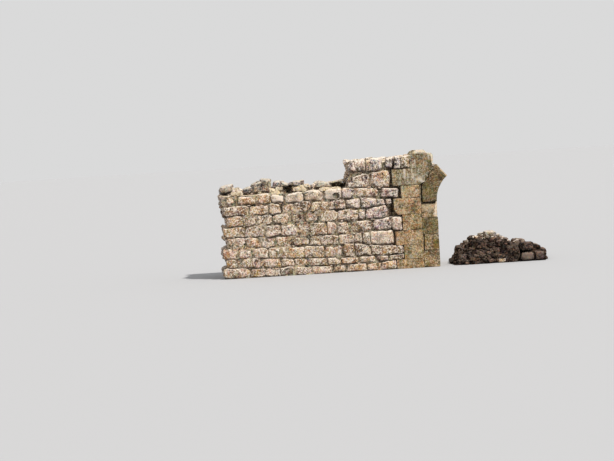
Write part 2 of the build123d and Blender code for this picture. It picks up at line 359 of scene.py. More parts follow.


# Each front stone has its own tone, from dark to light, and hue, from tan to olive. The top block
# is pale, with its front arris gone but for a spike at the opening, the recess there darker stone and
# painted shade, and a chipped right arris painted pale, partly newly broken stone and partly painted highlight.
jamb_looks = {
    "jamb_front_1": (0.3, 0.8), "jamb_front_2": (0.26, 0.8),
    "jamb_front_3": (0.12, 1.0), "jamb_front_4": (0.48, 0.4),
}
# The top block's right front arris is broken off and painted pale: partly newly broken stone, partly a painted
# highlight along the arris that the lamp catches.
jamb_breaks = {
    "jamb_front_4": [((1, -1, 0), 0.066, (0.2, 0.0, -0.06), 1.0)],
    "jamb_front_2": [((-1, -1, 0), 0.045, (0.0, 1.0, 0.04), 0.0)],
}
chipped_bed_height = 0.068
chipped_bed_depth = 0.24
spike_width = 0.05
for side in ("front", "back"):
    for course in range(1, 5):
        node = f"jamb_{side}_{course}"
        draw = random.Random(node)
        tone, hue = jamb_looks.get(node, (draw.uniform(0.3, 0.65), draw.uniform(0.3, 0.9)))
        block = squared_stone(node, draw, tone, hue, jamb_breaks.get(node, ()))
        if node == "jamb_front_4":
            weather_patch(block, jamb_face - 0.30, springing - 0.20, 0.20, paleness=0.4)
            weather_patch(block, jamb_face - 0.16, springing - 0.30, 0.10, darker=0.7)
        # The low recess cut under the springer is painted dark: partly darker stone, partly painted shade under
        # the springer.
        for v in block.verts if course == 4 else ():
            out_of_bed = min(v.co.y - front_face, back_face - v.co.y)
            beside_spike = v.co.x < jamb_face - spike_width
            if out_of_bed < chipped_bed_depth and beside_spike and v.co.z > springing - 0.05:
                v.co.z = springing - chipped_bed_height - 0.012 * noise.noise(v.co * 9)
                v[noted(block)] = (-0.3, 1, 0.5, 0)
        kind = ring_sandstone if node == "jamb_front_3" else dressed_sandstone
        place_piece(block, f"{node}_block", kind, [node])

# Between the front and the back stones the jamb's middle is one more block in each course.
middle = new_stone()
middle_length = 0.5
middle_joint = 0.018
draw = random.Random("jamb middle")
for course in range(1, 5):
    (_, _, bottom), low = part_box(f"jamb_front_{course}")
    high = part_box(f"jamb_back_{course}")[0]
    top = low[2] - bed_gap
    low = Vector((low[0] - middle_length + bed_gap, low[1] + middle_joint, bottom))
    high = Vector((high[0] + middle_length - bed_gap, high[1] - middle_joint, top))
    stone = plain_block(low, high)
    chip = corner_break(low, high, (1, draw.choice((-1, 1)), 1), 0.05, leaning(draw, 0.5))
    wear_down(stone, draw, draw.uniform(0.3, 0.6), draw.uniform(0.3, 0.9), [chip])
    middle.from_mesh(as_data("stone", stone))
place_piece(middle, "jamb_middle_blocks", dressed_sandstone, ["jamb_middle"])

# The quoins: dressed blocks beside the jamb, long and short in turn, which tie it into the rubble.
# They are the warmest stones of the face. The joint behind the springer has opened, so the corners
# of the two upper quoins are worn back there.
quoin_looks = {
    "quoin_front_1": (0.5, 0.5), "quoin_front_2": (0.55, 0.45), "quoin_front_3": (0.6, 0.35),
    "quoin_front_4": (0.52, 0.4), "quoin_front_5": (0.6, 0.3), "quoin_front_6": (0.66, 0.22),
}
quoin_breaks = {
    "quoin_front_6": [((1, -1, -1), 0.045, (0.0, 1.0, 0.93), 0), ((1, -1, 1), 0.05, (0, 0, 0.5), 0)],
    "quoin_front_5": [((1, -1, 1), 0.06, (0.6, 0.6, 0), 0), ((-1, 0, -1), 0.10, (-0.1, 0, 0.2), 0)],
    "quoin_front_3": [((-1, -1, 0), 0.03, (-0.5, 0, 0), 0)],
}
quoin_joint = jamb_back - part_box("quoin_front_1")[1][0] - 0.002
for side in ("front", "back"):
    for course in range(1, 7):
        node = f"quoin_{side}_{course}"
        draw = random.Random(node)
        tone, hue = quoin_looks.get(node, (draw.uniform(0.4, 0.7), draw.uniform(0.2, 0.7)))
        block = squared_stone(node, draw, tone, hue, quoin_breaks.get(node, ()), grown=quoin_joint)
        place_piece(block, f"{node}_block", dressed_sandstone, [node])

# The ring: springers and the next voussoirs, cut to radial beds and a round soffit. They are darker
# than the wall, olive and rust brown, because rain runs over them. The rest of the ring has fallen.
far_jamb_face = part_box("far_jamb_front")[0][0]
arch_radius = (far_jamb_face - jamb_face) / 2
arch_middle = (far_jamb_face + jamb_face) / 2
ring_depth = 0.48
ring_back = arch_radius + ring_depth
ring_turn = pi / 7
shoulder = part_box("quoin_front_6")[1][2]
soffit_steps = 5
# A darker patch over the joint of the voussoir and the haunch stone: painted shade.
joint_shade_patch = (jamb_face - 0.30, 2.82, 0.16)
springer_gap = 0.05
lit_edge_break = 0.032


def across(node):
    """How far the stone of a node reaches across the bridge, less its joints."""
    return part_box(node)[0][1] + bed_gap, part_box(node)[1][1] - bed_gap


def ring_point(radius, joint):
    """A point on a radial joint of the ring, counted up from the springing."""
    return arch_middle - radius * cos(ring_turn * joint), springing + radius * sin(ring_turn * joint)


def points_of(extruded):
    """The points of what an extrusion has pushed out."""
    return [part for part in extruded["geom"] if isinstance(part, bmesh.types.BMVert)]


def cut_stone(points, low, high, draw, tone, hue, breaks=()):
    """A stone of any outline in the face of the wall, extruded from one face to the other."""
    stone = new_stone()
    face = stone.faces.new([stone.verts.new((x, low, z)) for x, z in points])
    pushed = bmesh.ops.extrude_face_region(stone, geom=[face])
    bmesh.ops.translate(stone, vec=(0, high - low, 0), verts=points_of(pushed))
    bmesh.ops.recalc_face_normals(stone, faces=stone.faces)
    sharp = [e for e in stone.edges if len(e.link_faces) == 2 and e.calc_face_angle() > radians(25)]
    round_and_cut(stone, sharp)
    wear_down(stone, draw, tone, hue, breaks)
    return stone


ring_looks = {"springer_front": (0.0, 0.8), "voussoir_front": (0.12, 0.6)}
for place in ("front", "middle", "back"):
    for kind in ("springer", "voussoir"):
        node = f"{kind}_{place}"
        draw = random.Random(node)
        tone, hue = ring_looks.get(node, (draw.uniform(0.15, 0.4), draw.uniform(0.5, 0.8)))
        low, high = across(node)
        first = 0 if kind == "springer" else 1
        points = [ring_point(arch_radius + bed_gap, first + (step + 0.02) / (soffit_steps + 0.04))
                  for step in range(soffit_steps + 1)]
        if kind == "springer":
            back = jamb_back + springer_gap
            points.append(ring_point(ring_back, 0.996))
            points += [(back, shoulder - 0.01), (back, springing + bed_gap)]
        else:
            points += [ring_point(ring_back, first + part) for part in (0.99, 0.5, 0.004)]
        breaks = []
        # The ring's upper front arris is broken off and painted pale: partly newly broken stone, partly a
        # painted highlight along the edge the lamp catches.
        if node == "voussoir_front":
            outward = Vector((sin(2 * ring_turn), -1, cos(2 * ring_turn))).normalized()
            x, z = ring_point(arch_radius + ring_depth / 2, 2)
            breaks = [(Vector((x, low, z)) - outward * lit_edge_break, outward, 1.0)]
        stone = cut_stone(points, low, high, draw, tone, hue, breaks)
        # The voussoir gets the darker patch over its joint with the haunch: painted shade.
        if kind == "voussoir":
            weather_patch(stone, *joint_shade_patch, darker=0.5)
        place_piece(stone, f"{node}_stone", ring_sandstone, [node])

# The haunch stone, cut to the back of the ring, and the broken cap stone that still lies on it.
# Both are grey brown with white and grey crusts, and the cap's right end and upper front arris are broken and
# painted pale: partly newly broken stone, partly painted highlight.
haunch_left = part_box("haunch_stone_front")[0][0]
haunch_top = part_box("haunch_stone_front")[1][2]
cap_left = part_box("cap_stone_front")[0][0]
cap_outline = (
    (0.0, 0.0), (0.70, 0.0), (0.705, 0.10), (0.735, 0.20), (0.745, 0.31), (0.74, 0.40), (0.69, 0.445),
    (0.56, 0.47), (0.50, 0.53), (0.47, 0.565), (0.23, 0.565), (0.14, 0.53), (0.07, 0.43), (0.0, 0.385),
)
haunch_patch = (jamb_face - 0.50, 2.76, 0.13)
haunch_streaks = (jamb_face - 1.0, jamb_face - 0.66, 2.80)
# Breaks on the cap's right end and upper front arris, painted pale: partly newly broken stone, partly painted
# highlight on the edges the lamp catches.
cap_breaks = (
    ((0.705, 0.24), (1.0, -1.1, 0.15), 0.016, 1.0), ((0.62, 0.455), (0.1, -1.3, 0.8), 0.016, 0.9),
    ((0.35, 0.565), (0.0, -1.3, 0.9), 0.015, 1.0), ((0.19, 0.54), (-0.5, -1.3, 0.8), 0.009, 0.6),
)
crusted_sandstone = stone_material(
    "crusted_sandstone", dark=(0.11, 0.076, 0.036), light=(0.37, 0.268, 0.145), second=(0.19, 0.148, 0.055),
    bleached=(0.68, 0.60, 0.48), lichen=0.5, rust=0.3, bleach_and_top_light=1.0, underside_shade=0.7, runs=0.95, contrast=0.7)
for side in ("front", "back"):
    node = f"haunch_stone_{side}"
    draw = random.Random(node)
    low, high = across(node)
    top_turn = asin((haunch_top - bed_gap - springing) / ring_back) / ring_turn
    clear = ring_back + 0.006
    points = [(haunch_left, haunch_top - bed_gap), (haunch_left, shoulder + bed_gap),
              (jamb_back, shoulder + bed_gap), ring_point(clear, 0.99), ring_point(clear, (1 + top_turn) / 2),
              ring_point(clear, top_turn)]
    stone = cut_stone(points, low, high, draw, 0.4, 0.6)
    layer = noted(stone)
    weather_patch(stone, *haunch_patch, paleness=0.9)
    # The same darker patch over the joint, painted shade.
    weather_patch(stone, *joint_shade_patch, darker=0.5)
    for v in stone.verts if side == "front" else ():
        washed = noise.noise(Vector((v.co.x * 23, 0, v.co.z * 1.2))) > 0.12
        if washed and haunch_streaks[0] < v.co.x < haunch_streaks[1] and v.co.z > haunch_streaks[2]:
            v[layer][3] = max(v[layer][3], 0.9)
    place_piece(stone, f"{node}_block", crusted_sandstone, [node])

    node = f"cap_stone_{side}"
    draw = random.Random(node)
    low, high = across(node)
    points = [(cap_left + along, haunch_top + rise) for along, rise in cap_outline]
    outer = low if side == "front" else high
    breaks = []
    for (along, rise), way, reach, paleness in cap_breaks:
        way = Vector((way[0], way[1] if side == "front" else -way[1], way[2])).normalized()
        breaks.append((Vector((cap_left + along, outer, haunch_top + rise)) - way * reach, way, paleness))
    stone = cut_stone(points, low, high, draw, 0.44, 0.55, breaks)
    place_piece(stone, f"{node}_block", crusted_sandstone, [node])

# The rubble faces: split field stones of mauve grey, tan and cream, laid in rough courses whose joints
# have lost their lime. Courses and joints of the front follow the real wall, measured leftwards
# from the jamb's face and upwards, and the rest of the wall goes on in the same way.
tall_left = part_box("near_front_facing")[0][0]
wing_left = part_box("wing_front_facing")[0][0]
facing_depth = 0.43
bed_knots = (7.0, 3.3, 2.9, 2.5, 2.2, 1.9, 1.6, 1.3, 0.3)
bed_heights = (
    (0,) * 9,
    (0.324, 0.24, 0.25, 0.24, 0.25, 0.25, 0.28, 0.31, 0.31),
    (0.648, 0.46, 0.47, 0.46, 0.46, 0.47, 0.46, 0.47, 0.47),
    (0.972, 0.86, 0.90, 0.91, 0.80, 0.75, 0.745, 0.745, 0.745),
    (1.296, 1.18, 1.185, 1.20, 1.22, 1.265, 1.275, 1.215, 1.215),
    (1.62, 1.61, 1.60, 1.61, 1.61, 1.60, 1.62, 1.65, 1.66),
    (1.944, 1.96, 1.96, 1.95, 1.96, 2.0, 2.02, 2.02, 2.02),
    (2.268, 2.285, 2.29, 2.28, 2.30, 2.25, 2.225, 2.215, 2.215),
    (2.592, 2.60, 2.60, 2.605, 2.62, 2.59, 2.565, 2.565, 2.60),
    (3.02, 3.02, 3.02, 3.02, 3.03, 3.09, 3.10, 3.135, 3.135),
    (3.47, 3.47, 3.47, 3.47, 3.49, 3.50, 3.50, 3.51, 3.53),
)
end_setbacks = (0.0, 0.12, 0.03, 0.17, 0.06, 0.19, 0.09, 0.04)
front_joints = (
    (1.37, 1.86, 2.30, 2.95, 3.41, 4.02, 4.55),
    (1.12, 1.60, 1.98, 2.55, 3.10, 3.52, 4.10),
    (1.12, 1.49, 2.13, 2.66, 3.02, 3.60, 4.21),
    (1.40, 2.14, 2.39, 2.65, 3.15, 3.70, 4.05, 4.60),
    (1.13, 1.46, 2.03, 2.75, 3.18, 3.49, 4.02, 4.42),
    (1.56, 2.25, 2.48, 3.13, 3.74, 4.08, 4.62),
    (1.42, 1.61, 1.91, 2.37, 2.85, 3.39, 3.97, 4.47, 4.88),
    (1.18, 1.77, 2.57, 2.96, 3.51, 4.15, 4.75, 5.18, 5.62),
    (1.43, 2.05, 2.81),
    (0.80, 1.07, 1.27, 1.58, 2.07, 2.82),
)
low_tops = {(7, 4.75): -0.03}
pale_stones = {(7, 4.75): 0.75, (7, 2.96): 0.5, (4, 1.13): 0.25, (3, 1.40): 0.2, (7, 4.15): 0.3,
               (7, 3.51): 0.3}
lost_corner = (0.13, 0.06)
# Corners of front stones that lie off the run of their course, lower left first and anticlockwise.
cut_corners = {
    (9, 2.07): ((0, 0), (-0.07, 0), (-0.06, -0.01), (0, 0)),
    (9, 1.58): ((0, 0), (-0.05, 0), (-0.03, -0.01), (0, 0)),
    (9, 1.27): ((0.03, 0.06), (-0.05, 0), (0, 0), (0.03, -0.03)),
    (8, 2.05): ((-0.02, -0.02), (0, -0.01), (0, 0), (0.04, -0.05)),
    (8, 1.43): ((0, -0.03), (0, -0.03), (0, 0), (0, 0)),
    (7, 1.77): ((-0.04, 0), (0, 0.01), (-0.03, 0.03), (-0.03, 0.03)),
    (7, 3.51): ((0, 0), (0, -0.01), (0, 0.03), (0, 0.05)),
    (7, 4.15): ((0, -0.03), (0, -0.03), (0, 0.02), (0, -0.01)),
    (7, 1.18): ((0.03, 0.03), (0, 0), (0, -0.02), (0.05, -0.03)),
    (6, 1.61): ((0.0, 0), (0, 0.03), (-0.02, -0.05), (0.03, -0.02)),
}
hollow = (jamb_face - 3.14, 2.39, 0.10)
hollow_depth = 0.12
pinning_share = 0.6
front_looks = {
    (9, 0): (0.25, 0.9, 0.6), (9, 1): (0.6, 0.1, 0.08), (9, 2): (0.5, 0.0, 0.06), (9, 3): (0.6, 0.0, 0.04),
    (9, 4): (0.3, 0.4, 0.4), (8, 0): (0.66, 0.4, 0.75), (8, 1): (0.45, 0.2, 0.4), (7, 0): (0.6, 0.1, 0.3),
    (7, 1): (0.7, 0.4, 0.7), (7, 2): (0.6, 0.0, 0.08), (6, 0): (0.4, 0.0, 0.02), (6, 1): (0.45, 0.0, 0.06),
    (6, 2): (0.8, 0.3, 0.5), (6, 3): (0.6, 0.2, 0.2), (5, 0): (0.62, 0.1, 0.3), (5, 1): (0.6, 0.2, 0.5),
    (5, 2): (0.66, 0.3, 0.5), (4, 0): (0.95, 0.2, 0.75), (4, 1): (0.5, 0.1, 0.15), (4, 2): (0.42, 0.6, 0.6),
    (4, 3): (0.5, 0.7, 0.8), (3, 0): (0.74, 0.3, 0.6), (3, 1): (0.55, 0.3, 0.6), (3, 2): (0.5, 0.6, 0.7),
}
block_cuts = 10
pinning_cuts = 2
rubble_stone = stone_material(
    "rubble_stone", dark=(0.10, 0.065, 0.048), light=(0.64, 0.49, 0.388), second=(0.44, 0.30, 0.13),
    bleached=(0.95, 0.85, 0.73), lichen=0.9, rust=0.35, bleach_and_top_light=0.9, underside_shade=0.85, relief=0.028, variety=0.68)


def cut_block(cuts):
    """A plain cube with its sides cut into a grid, from which rough stones are shaped."""
    cube = bmesh.new()
    bmesh.ops.create_cube(cube, size=2)
    bmesh.ops.subdivide_edges(cube, edges=cube.edges, cuts=cuts, use_grid_fill=True)
    return as_data("cut_block", cube)


fine_block, coarse_block = cut_block(block_cuts), cut_block(pinning_cuts)


def lay_stone(wall, corners, faces, draw, tone, hue, squareness=9, chips=6, turn=None, pattern=fine_block,
              paleness=0.0, cast=None):
    """Adds one rough stone whose face has four corners, lower left first and anticlockwise: a block
    with its arrises rounded, bits split off its corners, and a rough and slightly swollen skin."""
    layer = noted(wall)
    start = len(wall.verts)
    wall.from_mesh(pattern)
    wall.verts.ensure_lookup_table()
    lower_left, lower_right, upper_right, upper_left = (Vector((x, 0, z)) for x, z in corners)
    middle = (lower_left + lower_right + upper_right + upper_left) / 4 + Vector((0, sum(faces) / 2, 0))
    height, width = (upper_left - lower_left).length, (lower_right - lower_left).length
    thinnest = min(height, width, abs(faces[1] - faces[0]))
    rough = min(0.042, thinnest * 0.125)
    number = draw.random()
    seed = Vector((number * 90, number * 40, number * 10))
    number = number if cast is None else cast
    splits = []
    for _ in range(chips):
        way = Vector([draw.choice((-1, 1)) * draw.uniform(0.25, 1) for _ in range(3)]).normalized()
        splits.append((way, draw.uniform(1.25, 1.6)))
    spin = Euler(turn).to_matrix() if turn else Matrix.Identity(3)
    for v in wall.verts[start:]:
        p = v.co
        p = p / (abs(p.x) ** squareness + abs(p.y) ** squareness + abs(p.z) ** squareness) ** (1 / squareness)
        swell = 1 + 0.04 * (1 - p.x * p.x) * (1 - p.z * p.z)
        for way, reach in splits:
            beyond = p.dot(way) - reach
            if beyond > 0:
                p = p - way * beyond
        below = lower_left.lerp(lower_right, (p.x + 1) / 2)
        above = upper_left.lerp(upper_right, (p.x + 1) / 2)
        at = below.lerp(above, (p.z + 1) / 2)
        at.y = (faces[0] + faces[1]) / 2 + p.y * swell * (faces[1] - faces[0]) / 2
        at = middle + spin @ (at - middle)
        uneven = noise.noise_vector(at * 5 + seed) * rough + noise.noise_vector(at * 17 + seed) * rough * 0.5
        at += Vector((uneven.x, uneven.y * 0.62, uneven.z))
        v.co = (at.x, at.y, max(at.z, 0))
        v[layer] = (tone, hue, number, paleness)


def lay_block(wall, low, high, draw, tone, hue, squareness, turn, pattern=fine_block, paleness=0.0):
    """Adds one rough stone between two opposite corners of a box."""
    corners = ((low.x, low.z), (high.x, low.z), (high.x, high.z), (low.x, high.z))
    lay_stone(wall, corners, (low.y, high.y), draw, tone, hue, squareness, turn=turn, pattern=pattern,
              paleness=paleness)


def bed_height(bed, along):
    """The height of a bed joint at a distance from the jamb's face."""
    at = next(i for i in range(len(bed_knots) - 1) if along >= bed_knots[i + 1] or i == len(bed_knots) - 2)
    share = (along - bed_knots[at + 1]) / (bed_knots[at] - bed_knots[at + 1])
    low, high = bed_heights[bed][at + 1], bed_heights[bed][at]
    return low + (high - low) * share + (0.012 * sin(8 * along + 3 * bed) if bed and along > 3 else 0)


def lay_course(wall, course, joints, leans, side, draw, looks):
    """One course of a rubble face, from the quoins or the tall part's end towards the wing's end."""
    outer = front_face if side == "front" else back_face
    inward = 1 if side == "front" else -1
    top_course = 7 if joints[0] > jamb_face - tall_left - 0.1 else 9
    for position in range(len(joints) - 1):
        right, left = joints[position], joints[position + 1]
        lean_right, lean_left = leans[position], leans[position + 1]
        gap = draw.uniform(-0.003, 0.014)
        up = draw.uniform(-0.03, 0.015) if course == 7 == top_course else -gap
        own = (course, right) if side == "front" else None
        up = low_tops.get(own, up)
        corners = (
            (jamb_face - left + lean_left + gap, bed_height(course, left) + gap),
            (jamb_face - right + lean_right - gap, bed_height(course, right) + gap),
            (jamb_face - right - lean_right - gap, bed_height(course + 1, right) + up),
            (jamb_face - left - lean_left + gap, bed_height(course + 1, left) + up + draw.uniform(-0.01, 0.01)),
        )
        if draw.random() < 0.45:
            drop = 0.008 if (course, position) in looks else 0.03
            above = corners[0][1] + 0.1
            corners = [(x, z + draw.uniform(-drop, 0.02) if z > above else z) for x, z in corners]
        if own in cut_corners:
            corners = [(x + along, z + rise) for (x, z), (along, rise) in zip(corners, cut_corners[own])]
        if course == 9 and position == len(joints) - 2:
            corners = ((corners[0][0] + lost_corner[0], corners[0][1] + lost_corner[1]), *corners[1:])
        front = outer - inward * draw.uniform(-0.018, 0.018)
        faces = sorted((front, outer + inward * facing_depth * draw.uniform(0.9, 1.0)))
        chosen = (draw.uniform(0.2, 0.85), draw.uniform(0.3, 1.0), draw.uniform(0.35, 1.0))
        tone, hue, cast = looks.get((course, position), chosen)
        turn = (draw.uniform(-0.015, 0.015), 0, draw.uniform(-0.035, 0.035))
        squareness = draw.uniform(3, 6) if course == 7 == top_course else draw.uniform(4, 12)
        lay_stone(wall, corners, faces, draw, tone, hue, squareness, draw.choice((2, 4, 6, 8)), turn,
                  paleness=pale_stones.get(own, 0.0), cast=cast)
        if draw.random() < pinning_share and course < top_course:
            along = draw.choice((left, left, draw.uniform(right, left)))
            if position == len(joints) - 2:
                along = draw.uniform(right, left - 0.15)
            half = Vector((draw.uniform(0.03, 0.07), 0.06, draw.uniform(0.014, 0.03)))
            middle = Vector((jamb_face - along, outer + inward * 0.07, bed_height(course + 1, along)))
            lay_block(wall, middle - half, middle + half, draw, draw.uniform(0.2, 0.8), draw.uniform(0, 0.8), 5,
                      None, coarse_block)


for side in ("front", "back"):
    draw = random.Random(f"rubble {side}")
    tall_wall, wing_wall = new_stone(), new_stone()
    for course in range(len(bed_heights) - 1):
        joints = list(front_joints[course])
        if side == "back":
            end = joints[-1] if course > 7 else joints[0] + 0.6
            joints = joints[:1]
            while end - joints[-1] > 0.75:
                joints.append(joints[-1] + draw.uniform(0.38, 0.7))
            joints.append(end)
        end = jamb_face - wing_left - end_setbacks[min(course, 7)]
        while course < 8 and end - joints[-1] > 0.85:
            joints.append(joints[-1] + draw.uniform(0.36, 0.66))
        if course < 8:
            joints.append(end)
        leans = [0] + [draw.uniform(-0.022, 0.022) for _ in joints[2:]] + [0]
        split = next((i for i, x in enumerate(joints) if x > jamb_face - tall_left - 0.02), len(joints) - 1)
        lay_course(tall_wall, course, joints[:split + 1], leans[:split + 1], side, draw,
                   front_looks if side == "front" else {})
        if course < 8:
            lay_course(wing_wall, course, joints[split:], leans[split:], side, draw, {})
    layer = noted(wing_wall)
    # A recess in one face stone of the wing, pushed in and painted near black inside as painted shade.
    for v in wing_wall.verts if side == "front" else ():
        off = Vector((v.co.x - hollow[0], v.co.z - hollow[1])).length / hollow[2]
        if off < 1 and v.co.y < front_face + 0.1:
            v.co.y += hollow_depth * (1 - off ** 4)
            v[layer] = (-1.5, 0, 0.5, 0)
    place_piece(tall_wall, f"near_{side}_rubble", rubble_stone, [f"near_{side}_facing"])
    place_piece(wing_wall, f"wing_{side}_rubble", rubble_stone, [f"wing_{side}_facing"])

# The core: small stones and lime poured between the faces. It shows in the open joints as dark
# earth, and as cream weathered lime with broken stones on the tops and at the broken ends.
core_recess = 0.06
core_end_recess = 0.05
core_end_wear = 0.28
core_slot_fill = 0.02
joint_fill = 0.032
wing_joint_fill = 0.046
deep_joint = (jamb_face - 1.28, 0.30, 0.16)
core_cell = 0.10
wing_core_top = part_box("wing_front_facing")[1][2] + 0.09
wing_core_swells = (
    (5.35, 0.22, 0.04), (5.0, 0.16, 0.10), (4.62, 0.15, -0.10), (4.2, 0.20, 0.06), (3.6, 0.3, 0.0),
    (3.1, 0.22, -0.08),
)
core_lime = stone_material(
    "core_lime", dark=(0.028, 0.019, 0.012), light=(0.66, 0.52, 0.35), second=(0.52, 0.40, 0.25),
    bleached=(0.82, 0.70, 0.52), lichen=0.4, rust=0.1, bleach_and_top_light=0.85, underside_shade=0.95, relief=0.04)


def core_block(node, reach, shelf_below, tone):
    """The mass between the faces, worn out of a copy of its solid: it runs on behind the face stones,
    up to a shelf under their tops, and is dark in the joints and lumpy where it lies open."""
    mass = new_stone()
    mass.from_mesh(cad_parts[node].data)
    bmesh.ops.remove_doubles(mass, verts=mass.verts, dist=0.0005)
    bmesh.ops.dissolve_limit(mass, angle_limit=radians(1), verts=mass.verts, edges=mass.edges)
    inner = max(v.co.y for v in mass.verts) - 0.001
    for v in mass.verts:
        if abs(v.co.y) > inner:
            v.co.y *= reach / inner
    cut_into_cells(mass, core_cell)
    mass.normal_update()
    layer = noted(mass)
    for v in mass.verts:
        outside = abs(v.co.y) > inner
        if outside:
            v.co.z = min(v.co.z, shelf_below(v.co))
        in_wing = node == "rubble_core" and v.co.x < tall_left - 0.3
        filled = min(1, max(0, (0.55 if in_wing else 0.15) + 2.4 * noise.noise(v.co * 1.9))) if outside else 0
        v.co += v.normal * (0.012 if outside else 0.035) * noise.fractal(v.co * 3.2, 0.7, 2.1, 4)
        v.co.y += filled * (wing_joint_fill if in_wing else joint_fill) * (1 if v.co.y > 0 else -1)
        v.co.z = max(v.co.z, 0.0)
        v[layer] = (-0.9 + 1.3 * filled if outside else tone, 0.4, 0.5, 0)
    return mass


def core_shelf(at):
    """The height at which the core stops behind the facing stones: lime lies over those of the wing."""
    if at.x > tall_left:
        return bed_heights[10][0] - 0.09
    return bed_heights[8][0] - 0.02 + 0.03 * noise.noise(at * 2.5) + 0.09 * max(0, 1 - (abs(at.y) - 0.75) / 0.3)


core = core_block("rubble_core", -front_face - core_recess, core_shelf, 0.5)
for v in core.verts:
    along = jamb_face - v.co.x
    if v.co.z > wing_core_top - 0.15 and v.co.x < tall_left:
        swell = sum(rise * max(0, 1 - ((along - at) / reach) ** 2) for at, reach, rise in wing_core_swells)
        v.co.z += swell * min(1, max(0, (abs(v.co.y) - 0.35) / 0.2)) * max(0, 1 - (abs(v.co.y) / 1.15) ** 4)
    if v.co.x < wing_left + core_end_wear:
        worn = 1 - (v.co.x - wing_left) / core_end_wear
        v.co.x += core_end_recess * (1 if v.co.z < wing_core_top - 0.02 else 1 + 2 * abs(noise.noise(v.co * 2)))
        if v.co.z > wing_core_top - 0.06:
            v.co.z -= worn * (0.06 + 0.14 * abs(noise.noise(v.co * 3.1)))
    if v.co.x > jamb_back - 0.01 and v.co.z < shoulder:
        v.co.x += core_slot_fill
    if abs(v.co.y) > 0.9:
        band = max(0, 1 - ((v.co.x - deep_joint[0]) / deep_joint[1]) ** 2)
        v.co.y -= band * deep_joint[2] * (1 if v.co.y > 0 else -1)
        v[noted(core)][0] -= 1.5 * band
core_tree = BVHTree.FromBMesh(core)
place_piece(core, "core_mass", core_lime, ["rubble_core"])


def scatter(wall, tree, draw, count, low, high, way, sizes, sink, tones=(0.3, 0.9), shade_fading=0.0):
    """Beds small stones where rays from a box meet a surface, each turned its own way and partly sunk
    in. With shade fading, the stones get paler from the front to the back: their dark at the front is painted
    shade."""
    for _ in range(count):
        start = Vector([draw.uniform(a, b) for a, b in zip(low, high)])
        hit = tree.ray_cast(start, way)[0]
        if hit is None:
            continue
        long = draw.uniform(*sizes)
        half = Vector((long, long * draw.uniform(0.6, 0.9), long * draw.uniform(0.4, 0.7))) / 2
        middle = hit - way * half.z * (1 - 2 * sink)
        turn = (draw.uniform(-0.4, 0.4), draw.uniform(-0.4, 0.4), draw.uniform(0, pi))
        shade = draw.uniform(0.0, 0.7)
        paleness = min(0.15 + 0.8 * shade, max(0.0, shade_fading * (middle.y + shade)))
        lay_block(wall, middle - half, middle + half, draw, draw.uniform(*tones), draw.uniform(0, 0.6), 4,
                  turn, coarse_block, paleness)


draw = random.Random("core stones")
down = Vector((0, 0, -1))
right = Vector((1, 0, 0))
tops, ends = new_stone(), new_stone()
core_showers = (
    (tops, 190, (wing_left + 0.2, -0.95, 6), (tall_left - 0.1, 0.95, 6), down, (0.06, 0.20), 0.42),
    (tops, 150, (tall_left + 0.25, -0.55, 6), (jamb_face - 0.8, 0.75, 6), down, (0.05, 0.15), 0.45),
    (ends, 200, (wing_left - 1, -0.78, 0.05), (wing_left - 1, 0.78, 2.6), right, (0.12, 0.28), 0.42),
    (ends, 60, (wing_left - 1, -0.85, 2.5), (wing_left - 1, 0.85, 2.68), right, (0.08, 0.2), 0.42),
    (ends, 50, (wing_left + 2, -0.75, 2.8), (wing_left + 2, 0.75, 3.3), right, (0.12, 0.24), 0.4),
    (ends, 18, (jamb_face + 2, -0.7, 3.15), (jamb_face + 2, 0.7, 3.35), -right, (0.12, 0.25), 0.35),
)
for stones, *shower in core_showers:
    scatter(stones, core_tree, draw, *shower)
place_piece(tops, "core_top_stones", rubble_stone)
place_piece(ends, "core_end_stones", rubble_stone)

# Loose stones on the broken top of the wing: boulders and slabs that once carried the parapet. They
# are grey with pale crusts, and two slabs lie over gaps closed behind by stones painted dark as shade. The back
# has a like row.
loose_front = (
    ((6.80, 2.66), (6.40, 2.68), (6.39, 2.95), (6.76, 2.90), 4, 0.62),
    ((6.30, 2.62), (6.08, 2.62), (6.10, 2.74), (6.28, 2.72), 4, 0.5),
    ((6.06, 2.60), (5.78, 2.62), (5.78, 2.86), (6.03, 2.80), 4, 0.5),
    ((5.76, 2.62), (5.44, 2.62), (5.44, 3.02), (5.70, 2.90), 4, 0.45),
    ((5.44, 2.64), (5.15, 2.64), (5.15, 3.05), (5.42, 3.06), 7, 0.5),
    ((5.12, 2.74), (4.84, 2.78), (4.86, 2.96), (5.08, 2.98), 4, 0.6),
    ((4.84, 2.86), (4.62, 2.78), (4.60, 2.84), (4.82, 2.93), 5, 0.95),
    ((4.63, 2.83), (4.23, 2.76), (4.22, 2.94), (4.57, 2.92), 7, 0.6),
    ((3.92, 2.68), (3.84, 2.68), (3.85, 2.80), (3.91, 2.80), 4, 0.8),
    ((3.82, 2.64), (3.24, 2.66), (3.28, 2.83), (3.72, 2.90), 3.2, 0.55),
    ((3.33, 2.78), (2.84, 2.84), (2.84, 2.90), (3.32, 2.83), 6, 0.9),
)
boulder_stone = stone_material(
    "boulder_stone", dark=(0.10, 0.08, 0.066), light=(0.42, 0.36, 0.30), second=(0.26, 0.205, 0.125),
    bleached=(0.71, 0.64, 0.54), lichen=0.55, rust=0.12, bleach_and_top_light=0.9, underside_shade=0.85, variety=0.45)
loose = new_stone()
draw = random.Random("loose stones")
